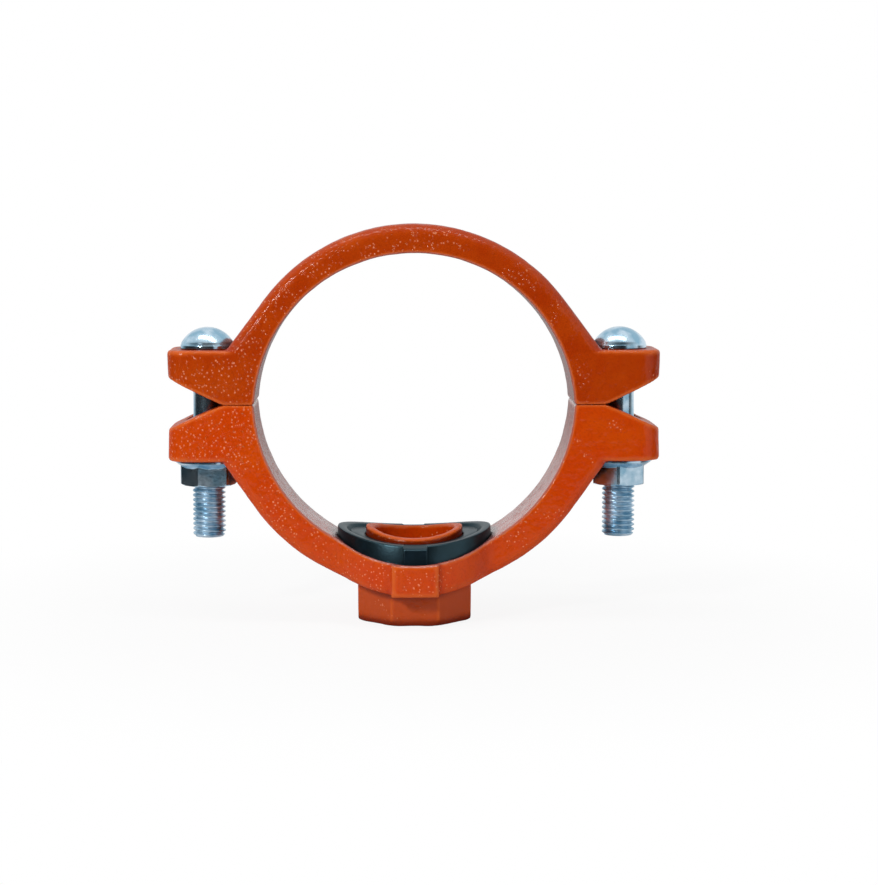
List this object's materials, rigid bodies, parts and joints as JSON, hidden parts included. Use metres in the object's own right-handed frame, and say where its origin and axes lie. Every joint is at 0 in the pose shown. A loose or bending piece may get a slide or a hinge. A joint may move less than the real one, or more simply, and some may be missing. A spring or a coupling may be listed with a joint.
{
  "type": "mechanical tee pipe fitting",
  "caption": "Bolted saddle tee: two cast halves clamp round a pipe, with a threaded branch outlet, a saddle gasket, track bolts and flange nuts.",
  "frame": {"origin": "on the run pipe's axis, in the parting plane of the two halves, midway along the strap", "axes": "+X towards the right ear, +Y along the run pipe, +Z away from the branch outlet, which points along -Z"},
  "size_m": [0.1778, 0.0628, 0.1441],
  "materials": {
    "casting_paint": "glossy orange paint over a rough cast surface",
    "gasket_rubber": "smooth moulded black rubber, slightly shiny",
    "zinc_steel": "bright blue-white zinc plate"
  },
  "bodies": {
    "outlet_half": {"outlet_housing": "casting_paint", "gasket": "gasket_rubber"},
    "strap_half": {"strap_housing": "casting_paint", "bolt_left": "zinc_steel", "bolt_right": "zinc_steel"},
    "left_nut": {"nut_left": "zinc_steel"},
    "right_nut": {"nut_right": "zinc_steel"}
  },
  "joints": [
    {"name": "clamp_opening", "type": "slide", "parent": "outlet_half", "child": "strap_half", "axis": [0, 0, 1], "range_m": [0, 0.017]},
    {"name": "nut_left_turn", "type": "hinge", "parent": "outlet_half", "child": "left_nut", "pos_m": [-0.07505, 0, -0.0254], "axis": [0, 0, -1], "range_deg": [0, 3497.2]},
    {"name": "nut_right_turn", "type": "hinge", "parent": "outlet_half", "child": "right_nut", "pos_m": [0.07505, 0, -0.0254], "axis": [0, 0, -1], "range_deg": [0, 3497.2]}
  ],
  "couplings": [
    {"joint": "nut_left_turn", "follows": "clamp_opening", "rad_per_m": 3590.4},
    {"joint": "nut_right_turn", "follows": "clamp_opening", "rad_per_m": 3590.4}
  ]
}
